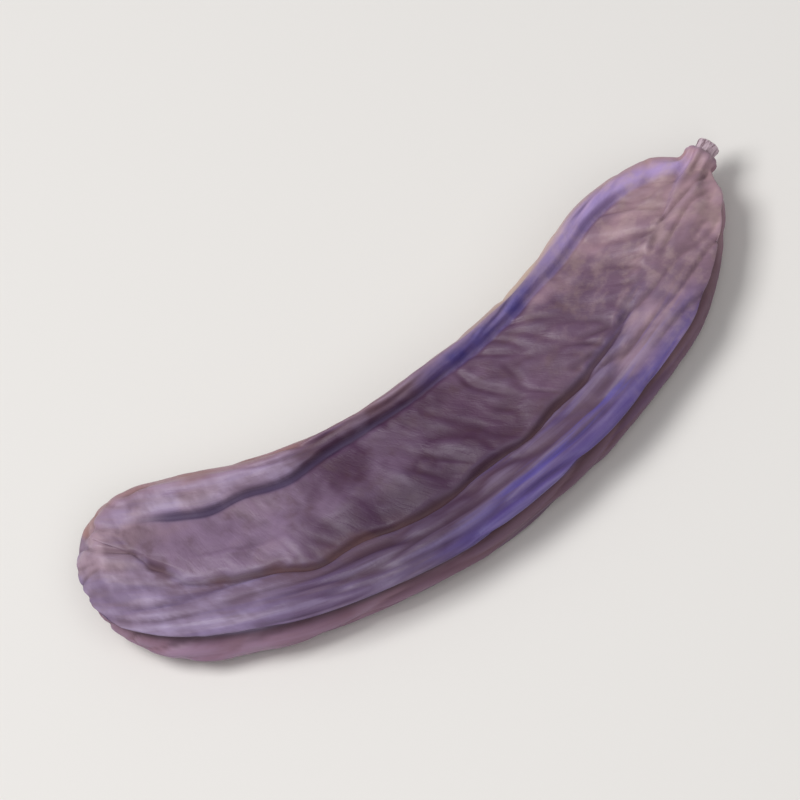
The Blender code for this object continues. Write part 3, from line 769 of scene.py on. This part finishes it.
def add_node(tree, kind, inputs=None, **settings):
    """Adds a node with its settings. An input that is given a socket is linked to it."""
    made = tree.nodes.new(kind)
    for name, value in settings.items():
        setattr(made, name, value)
    for name, value in (inputs or {}).items():
        if isinstance(value, bpy.types.NodeSocket):
            tree.links.new(value, made.inputs[name])
        else:
            made.inputs[name].default_value = value
    return made


# Dried legume skin, grown and air-dried, never polished: a leathery purple-brown with a faint
# waxy bloom. It is satin on the ridges and dull in the furrows; painted shade darkens the furrows,
# folds and suture, the lilac is bloom and painted highlight, the blue-violet streaks along the cords
# are bloom colour and painted reflection, and the rims are reddish, with a cream painted highlight.
FIELD_TONES = ((0.0, "#8c7380"), (0.26, "#826a84"), (0.46, "#482944"), (0.70, "#6b5067"), (0.93, "#ac8b95"))
CORD_TONES = ((0.0, "#a68c9a"), (0.22, "#9986a4"), (0.44, "#4b2f47"), (0.72, "#675270"), (0.95, "#b4939e"))
FIELD_DARK = "#452d3b"
# Pale lilac for the field's humps: bloom and painted highlight.
FIELD_BLOOM_AND_HIGHLIGHT = "#8a6c90"
FIELD_BROWN = "#51363a"
# Pale lilac for the cords' humps and the ridges: bloom and painted highlight.
CORD_BLOOM_AND_HIGHLIGHT = "#a898bb"
CORD_BROWN = "#5b4150"
# Blue-violet streaks on the cords: partly bloom colour, partly painted reflection.
BLUE_BLOOM_AND_REFLECTION = "#564fac"
# Painted reflection: indigo over the outer suture.
SUTURE_INDIGO_REFLECTION = "#463b94"
OUTER_RIM_RED = "#946c7a"
# Painted shade on the outer rim under the suture, along the pod's middle.
RIM_SHADE = "#472b33"
HOLLOW_RIM_TAN = "#a67a6c"
# Painted highlight: a cream spot on the hollow rim.
EDGE_HIGHLIGHT = "#e3cdb4"
STALK_PALE = "#c4a8a6"
# Painted shade for the furrows, the valleys and the suture's groove.
FURROW_SHADE = "#2f1b20"
# Painted reflection: the blue-violet band along the hollow cord.
HOLLOW_VIOLET_REFLECTION = "#5b4d9a"
SPOT_INDIGO = "#322e80"
# Painted highlight: pale lilac on the hollow cord towards the stalk.
HOLLOW_LILAC_HIGHLIGHT = "#bca3dc"
MIDDLE_PLUM = "#3b223c"
# Painted shade along the outer fold.
FOLD_SHADE = "#43282c"
BAND_BROWN = "#5e4042"
# Painted shade along the hollow fold.
FOLD_VIOLET_SHADE = "#35264a"
TONE_DRIFT = 0.16  # share of the length by which the tones wander along the pod
PATCH_GRAIN = 13 * MM
MOTTLE_GRAIN = (4.2 * MM, 5.0 * MM, 5.0 * MM)
SPECK_GRAIN = 2.4 * MM
STREAK_GRAIN = (16 * MM, 1.5 * MM, 1.5 * MM)
BLUE_GRAIN = (22 * MM, 2.4 * MM, 2.4 * MM)
LEATHER_GRAIN = 0.45 * MM
LEATHER_DEPTH = 0.03 * MM
FINE_FIELD_GRAIN = (1.1 * MM, 3.2 * MM, 3.2 * MM)
FINE_CORD_GRAIN = (5.0 * MM, 0.8 * MM, 0.8 * MM)
FINE_WRINKLE_DEPTH = 0.010 * MM

dried_skin = bpy.data.materials.new("air_dried_legume_skin")
dried_skin.use_nodes = True
tree = dried_skin.node_tree
shader = tree.nodes["Principled BSDF"]
place = add_node(tree, "ShaderNodeAttribute", attribute_name="along_pod").outputs["Vector"]
slant = add_node(tree, "ShaderNodeAttribute", attribute_name="slanted_pod").outputs["Vector"]
masks = {}
for name in marks:
    masks[name] = add_node(tree, "ShaderNodeAttribute", attribute_name=name).outputs["Fac"]

# Each pattern: what it follows, its grain, and the values of the noise that show as 0 and as 1.
PATTERNS = {
    "patches": (place, (PATCH_GRAIN,) * 3, 0.40, 0.60),
    "mottle": (slant, MOTTLE_GRAIN, 0.35, 0.65),
    "specks": (place, (SPECK_GRAIN,) * 3, 0.42, 0.70),
    "streaks": (place, STREAK_GRAIN, 0.40, 0.62),
    "blue": (place, BLUE_GRAIN, 0.47, 0.62),
}
patterns = {}
for name, (follows, grain, low, high) in PATTERNS.items():
    scaled = add_node(tree, "ShaderNodeMapping", {"Vector": follows, "Scale": [1 / g for g in grain]})
    grown = add_node(tree, "ShaderNodeTexNoise", {
        "Vector": scaled.outputs["Vector"], "Scale": 1.0, "Detail": 3.0, "Roughness": 0.55,
    })
    patterns[name] = add_node(tree, "ShaderNodeMapRange", {
        "Value": grown.outputs["Fac"], "From Min": low, "From Max": high,
    }, interpolation_type="SMOOTHSTEP").outputs["Result"]

# The tones change along the pod, on the field and on the cords in their own way.
along = add_node(tree, "ShaderNodeSeparateXYZ", {"Vector": place}).outputs["X"]
share = add_node(tree, "ShaderNodeMath", {0: along, 1: LENGTH}, operation="DIVIDE").outputs[0]
wander = add_node(tree, "ShaderNodeMapRange", {
    "Value": patterns["patches"], "To Min": -TONE_DRIFT / 2, "To Max": TONE_DRIFT / 2,
}).outputs["Result"]
share = add_node(tree, "ShaderNodeMath", {0: share, 1: wander}, operation="ADD").outputs[0]
tones = []
for stops in (FIELD_TONES, CORD_TONES):
    ramp = add_node(tree, "ShaderNodeValToRGB", {"Fac": share})
    for stop in stops[2:]:
        ramp.color_ramp.elements.new(0.5)
    for element, (position, code) in zip(ramp.color_ramp.elements, stops):
        element.position = position
        element.color = linear(code)
    tones.append(ramp.outputs["Color"])

# Layers of colour, one over another: what is under, the colour, and what its share is made of.
field_tone, cord_tone = tones


def layered(tone, layers):
    """Lays colours over a tone. Each layer is a colour, the most of it, and what it is limited by."""
    for code, most, *limits in layers:
        for limit in limits:
            most = add_node(tree, "ShaderNodeMath", {0: limit, 1: most}, operation="MULTIPLY").outputs[0]
        mix = add_node(tree, "ShaderNodeMix", {0: most, 6: tone, 7: linear(code)}, data_type="RGBA")
        tone = mix.outputs[2]
    return tone


field_tone = layered(field_tone, (
    (FIELD_DARK, 0.30, patterns["mottle"]),
    # Bloom and painted highlight: paler on the broad humps.
    (FIELD_BLOOM_AND_HIGHLIGHT, 0.10, masks["hump"], patterns["patches"]),
    (FIELD_BROWN, 0.40, patterns["specks"], patterns["mottle"]),
))
cord_tone = layered(cord_tone, (
    (CORD_BROWN, 0.55, patterns["mottle"]),
    # Bloom and painted highlight: pale streaks on the cords' humps.
    (CORD_BLOOM_AND_HIGHLIGHT, 0.50, patterns["streaks"], masks["hump"]),
    # Blue-violet streaks, partly bloom colour and partly painted reflection.
    (BLUE_BLOOM_AND_REFLECTION, 0.10, patterns["blue"]),
    # Painted reflection: the blue-violet band along the hollow cord.
    (HOLLOW_VIOLET_REFLECTION, 0.66, masks["hollow_violet"]),
    (SPOT_INDIGO, 0.90, masks["hollow_violet"], patterns["mottle"]),
    # Painted highlight: pale lilac on the hollow cord towards the stalk.
    (HOLLOW_LILAC_HIGHLIGHT, 0.80, masks["hollow_tip"]),
    # More blue-violet streaks from the middle to the stalk, partly bloom colour and partly painted
    # reflection.
    (BLUE_BLOOM_AND_REFLECTION, 0.55, patterns["blue"], masks["blue_part"]),
))
tone = add_node(tree, "ShaderNodeMix", {0: masks["field"], 6: cord_tone, 7: field_tone}, data_type="RGBA")
tone = layered(tone.outputs[2], (
    (MIDDLE_PLUM, 0.65, masks["plum_part"]),
    # Painted reflection: indigo over the outer suture.
    (SUTURE_INDIGO_REFLECTION, 0.48, masks["suture_blue"]),
    (STALK_PALE, 0.40, masks["stalk_end"], patterns["specks"]),
    (OUTER_RIM_RED, 0.60, masks["outer_rim"]),
    # Painted shade on the outer rim under the suture, along the pod's middle.
    (RIM_SHADE, 0.60, masks["outer_rim"], masks["blue_part"]),
    (HOLLOW_RIM_TAN, 0.70, masks["hollow_rim"]),
    # Painted highlight: a cream spot on the hollow rim.
    (EDGE_HIGHLIGHT, 0.60, masks["hollow_rim"], masks["edge_highlight_part"]),
    # Bloom and painted highlight on the small ridges.
    (CORD_BLOOM_AND_HIGHLIGHT, 0.08, masks["ridge"]),
    # Painted shade in the broad valleys and the fine furrows.
    (FURROW_SHADE, 0.18, masks["valley"]),
    (FURROW_SHADE, 0.35, masks["furrow"]),
    # Painted shade along the outer and hollow folds.
    (FOLD_SHADE, 0.72, masks["outer_fold"]),
    (FOLD_VIOLET_SHADE, 0.75, masks["hollow_fold"]),
    (BAND_BROWN, 0.60, masks["brown_band"], patterns["mottle"]),
    # Painted shade in the suture's groove.
    (FURROW_SHADE, 0.60, masks["suture"]),
))
tree.links.new(tone, shader.inputs["Base Color"])

dullness = add_node(tree, "ShaderNodeMapRange", {"Value": masks["furrow"], "To Min": 0.46, "To Max": 0.70})
speckled = add_node(tree, "ShaderNodeMapRange", {
    "Value": patterns["mottle"], "To Min": -0.05, "To Max": 0.05,
})
dull = add_node(tree, "ShaderNodeMath", {
    0: dullness.outputs["Result"], 1: speckled.outputs["Result"],
}, operation="ADD")
tree.links.new(dull.outputs[0], shader.inputs["Roughness"])

# The finest wrinkles and the leathery grain are too fine for the mesh, so they are in the bump:
# rounded ridges with a furrow wherever the noise passes through its middle.
heights = []
for follows, grain in ((place, FINE_CORD_GRAIN), (slant, FINE_FIELD_GRAIN)):
    scaled = add_node(tree, "ShaderNodeMapping", {"Vector": follows, "Scale": [1 / g for g in grain]})
    grown = add_node(tree, "ShaderNodeTexNoise", {
        "Vector": scaled.outputs["Vector"], "Scale": 1.0, "Detail": 2.0, "Roughness": 0.5, "Distortion": 0.3,
    })
    off_middle = add_node(tree, "ShaderNodeMath", {0: grown.outputs["Fac"], 1: 0.5}, operation="SUBTRACT")
    folded = add_node(tree, "ShaderNodeMath", {0: off_middle.outputs[0]}, operation="ABSOLUTE")
    heights.append(add_node(tree, "ShaderNodeMapRange", {
        "Value": folded.outputs[0], "From Min": 0.0, "From Max": 0.10,
    }, interpolation_type="SMOOTHSTEP").outputs["Result"])
height = add_node(tree, "ShaderNodeMix", {0: masks["field"], 2: heights[0], 3: heights[1]})
wrinkled = add_node(tree, "ShaderNodeBump", {"Height": height.outputs[0], "Distance": FINE_WRINKLE_DEPTH})
leather = add_node(tree, "ShaderNodeTexNoise", {
    "Vector": place, "Scale": 1 / LEATHER_GRAIN, "Detail": 3.0, "Roughness": 0.6,
})
grained = add_node(tree, "ShaderNodeBump", {
    "Height": leather.outputs["Fac"], "Distance": LEATHER_DEPTH, "Normal": wrinkled.outputs["Normal"],
})
tree.links.new(grained.outputs["Normal"], shader.inputs["Normal"])
shader.inputs["IOR"].default_value = 1.46
shader.inputs["Specular IOR Level"].default_value = 0.36
shader.inputs["Sheen Weight"].default_value = 0.10
shader.inputs["Sheen Roughness"].default_value = 0.4
shader.inputs["Sheen Tint"].default_value = linear("#9a8fd4")
skin.data.materials.append(dried_skin)
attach(skin, "root")
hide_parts("carob_pod")

# The stalk's stub. What is left of the woody stalk where the pod broke off its branch: a short
# piece of pale wood under thin ribbed bark, gripped by the skin's lip, wider at its broken end.
STUB_SIDES = 48
STUB_RINGS = (  # height over the pod's end, and radius
    (-0.6, 1.45), (0.2, 1.60), (0.7, 1.66), (1.0, 1.62), (1.4, 1.62), (1.7, 1.68), (2.0, 1.76), (2.25, 1.74),
)
BREAK_RINGS = ((2.37, 1.52), (2.34, 1.15), (2.22, 0.70), (2.16, 0.30))  # the broken end, in towards the pith
BARK_RIBS = 11
RIBS_UNEVEN = 3  # times round the stub that the ribs crowd and spread
BARK_RIB_DEPTH = 0.05  # share of the radius
TORN_FROM = (2.20 * MM, 2.35 * MM)  # heights between which bark becomes bare wood
SPLINTERS = 0.16 * MM
SPLINTER_DRAW = 5

bpy.ops.object.select_all(action="DESELECT")
was_height, was_radius = STUB_RINGS[0]
bpy.ops.mesh.primitive_circle_add(
    vertices=STUB_SIDES, radius=was_radius * MM, fill_type="NGON", location=(0, 0, was_height * MM),
)
stub = bpy.context.object
stub.name = "stalk_stub"
bpy.ops.object.transform_apply(location=True)
bpy.ops.object.mode_set(mode="EDIT")
bpy.ops.mesh.select_all(action="SELECT")
for ring_height, ring_radius in STUB_RINGS[1:] + BREAK_RINGS:
    lift = {"value": (0, 0, (ring_height - was_height) * MM)}
    bpy.ops.mesh.extrude_region_move(TRANSFORM_OT_translate=lift)
    wider = ring_radius / was_radius
    bpy.ops.transform.resize(value=(wider, wider, 1))
    was_height, was_radius = ring_height, ring_radius
bpy.ops.mesh.select_all(action="DESELECT")
wood = bmesh.from_edit_mesh(stub.data)
for v in wood.verts:
    turn = math.atan2(v.co.y, v.co.x)
    on_rib = math.sin(BARK_RIBS * turn + math.sin(RIBS_UNEVEN * turn)) > 0
    v.select = on_rib and v.co.z < STUB_RINGS[-1][0] * MM
bmesh.update_edit_mesh(stub.data)
bpy.ops.transform.resize(value=(1 - BARK_RIB_DEPTH, 1 - BARK_RIB_DEPTH, 1))
for v in wood.verts:
    v.select = v.co.z > STUB_RINGS[-2][0] * MM
bmesh.update_edit_mesh(stub.data)
bpy.ops.transform.vertex_random(offset=SPLINTERS, seed=SPLINTER_DRAW)
bpy.ops.object.mode_set(mode="OBJECT")
keep(stub.data, "along_stub", read(stub.data, "vertices", "co"))
keep(stub.data, "broken", rise(read(stub.data, "vertices", "co")[:, 2], *TORN_FROM))
rounded = stub.modifiers.new("rounded", "SUBSURF")
rounded.levels = rounded.render_levels = 2
bpy.ops.object.modifier_apply(modifier=rounded.name)
stub_foot, stub_head = laid_down(bend(np.array([
    [LENGTH, STALK_TIP, 0],
    [LENGTH + STUB_LENGTH, STALK_TIP, 0],
])))
upright = Vector(stub_head - stub_foot).to_track_quat("Z", "Y").to_matrix().to_4x4()
stub.data.transform(Matrix.Translation(stub_foot) @ upright)
stub.data.shade_smooth()

# Carob wood, grown, torn off and dried in the air: pale pinkish tan, with grey-brown bark fibres
# along it and a paler, torn end. To the eye it is dull, the one spot on the pod that isn't leathery.
BARK_PALE = "#c6b0bb"
BARK_DARK = "#745a64"
TORN_WOOD = "#dccbd0"
FIBRE_GRAIN = (0.45 * MM, 0.45 * MM, 3.0 * MM)
FIBRE_DEPTH = 0.05 * MM

dry_wood = bpy.data.materials.new("air_dried_stalk_wood")
dry_wood.use_nodes = True
tree = dry_wood.node_tree
shader = tree.nodes["Principled BSDF"]
place = add_node(tree, "ShaderNodeAttribute", attribute_name="along_stub").outputs["Vector"]
torn = add_node(tree, "ShaderNodeAttribute", attribute_name="broken").outputs["Fac"]
scaled = add_node(tree, "ShaderNodeMapping", {"Vector": place, "Scale": [1 / g for g in FIBRE_GRAIN]})
fibres = add_node(tree, "ShaderNodeTexNoise", {
    "Vector": scaled.outputs["Vector"], "Scale": 1.0, "Detail": 3.0, "Roughness": 0.6,
})
fibrous = add_node(tree, "ShaderNodeMapRange", {
    "Value": fibres.outputs["Fac"], "From Min": 0.38, "From Max": 0.60,
}, interpolation_type="SMOOTHSTEP").outputs["Result"]
bark = add_node(tree, "ShaderNodeMix", {
    0: fibrous, 6: linear(BARK_DARK), 7: linear(BARK_PALE),
}, data_type="RGBA")
bare = add_node(tree, "ShaderNodeMath", {0: torn, 1: fibrous}, operation="MULTIPLY").outputs[0]
wood_tone = add_node(tree, "ShaderNodeMix", {
    0: bare, 6: bark.outputs[2], 7: linear(TORN_WOOD),
}, data_type="RGBA")
tree.links.new(wood_tone.outputs[2], shader.inputs["Base Color"])
rough = add_node(tree, "ShaderNodeMapRange", {"Value": fibrous, "To Min": 0.85, "To Max": 0.68})
tree.links.new(rough.outputs["Result"], shader.inputs["Roughness"])
ribbed = add_node(tree, "ShaderNodeBump", {"Height": fibrous, "Distance": FIBRE_DEPTH})
tree.links.new(ribbed.outputs["Normal"], shader.inputs["Normal"])
shader.inputs["IOR"].default_value = 1.5
stub.data.materials.append(dry_wood)
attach(stub, "root")

# The floor: a plain pale board that the pod lies on.
bpy.ops.object.select_all(action="DESELECT")
bpy.ops.mesh.primitive_plane_add(size=6.0)
floor = bpy.context.object
floor.name = "pale_floor"
board = bpy.data.materials.new("matt_painted_board")
board.use_nodes = True
board.node_tree.nodes["Principled BSDF"].inputs["Base Color"].default_value = linear("#e5e2de")
board.node_tree.nodes["Principled BSDF"].inputs["Roughness"].default_value = 0.85
floor.data.materials.append(board)

# The studio light: a soft box over the hollow side, a larger and weaker one in front, and grey all
# round.
low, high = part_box("carob_pod")
middle = (low + high) / 2


def soft_box(name, azimuth, elevation, distance, size, power):
    """A square area light that looks at the pod. Azimuth 0 is in front, and 90 at the stalk end."""
    lamp = bpy.data.lights.new(name, "AREA")
    lamp.size = size
    lamp.energy = power
    placed = bpy.data.objects.new(name, lamp)
    bpy.context.scene.collection.objects.link(placed)
    a, e = math.radians(azimuth), math.radians(elevation)
    out = Vector((math.sin(a) * math.cos(e), -math.cos(a) * math.cos(e), math.sin(e)))
    placed.location = middle + out * distance
    placed.rotation_euler = out.to_track_quat("Z", "Y").to_euler()


soft_box("key_box", azimuth=-118, elevation=64, distance=0.8, size=0.45, power=4.6)
soft_box("front_box", azimuth=15, elevation=50, distance=0.9, size=0.7, power=2.45)
world = bpy.data.worlds.new("grey_studio")
world.use_nodes = True
world.node_tree.nodes["Background"].inputs["Color"].default_value = linear("#d8d9dc")
world.node_tree.nodes["Background"].inputs["Strength"].default_value = 0.355
bpy.context.scene.world = world
bpy.context.scene.view_settings.view_transform = "Standard"

# The camera looks down on the lying pod from its outer side, turned so that the stalk end rises
# to the right, as in the photograph.
VIEW_AZIMUTH = math.radians(-1.5)
VIEW_ELEVATION = math.radians(56)
VIEW_ROLL = math.radians(-31.7)
LENS_MM = 400
SENSOR_MM = 36
FRAME_ACROSS = 112 * MM
AIM_RIGHT = -5.6 * MM  # of the box's middle, so that the curved pod itself is centred
AIM_UP = 4.1 * MM
back = Vector((
    math.sin(VIEW_AZIMUTH) * math.cos(VIEW_ELEVATION),
    -math.cos(VIEW_AZIMUTH) * math.cos(VIEW_ELEVATION),
    math.sin(VIEW_ELEVATION),
))
camera = bpy.data.objects.new("camera", bpy.data.cameras.new("camera"))
camera.data.lens = LENS_MM
camera.data.sensor_width = SENSOR_MM
camera.data.clip_start = 0.01
camera.rotation_mode = "QUATERNION"
camera.rotation_quaternion = (-back).to_track_quat("-Z", "Y") @ Quaternion((0, 0, 1), VIEW_ROLL)
aside = camera.rotation_quaternion @ Vector((AIM_RIGHT, AIM_UP, 0))
camera.location = middle + aside + back * FRAME_ACROSS * LENS_MM / SENSOR_MM
bpy.context.scene.collection.objects.link(camera)
bpy.context.scene.camera = camera
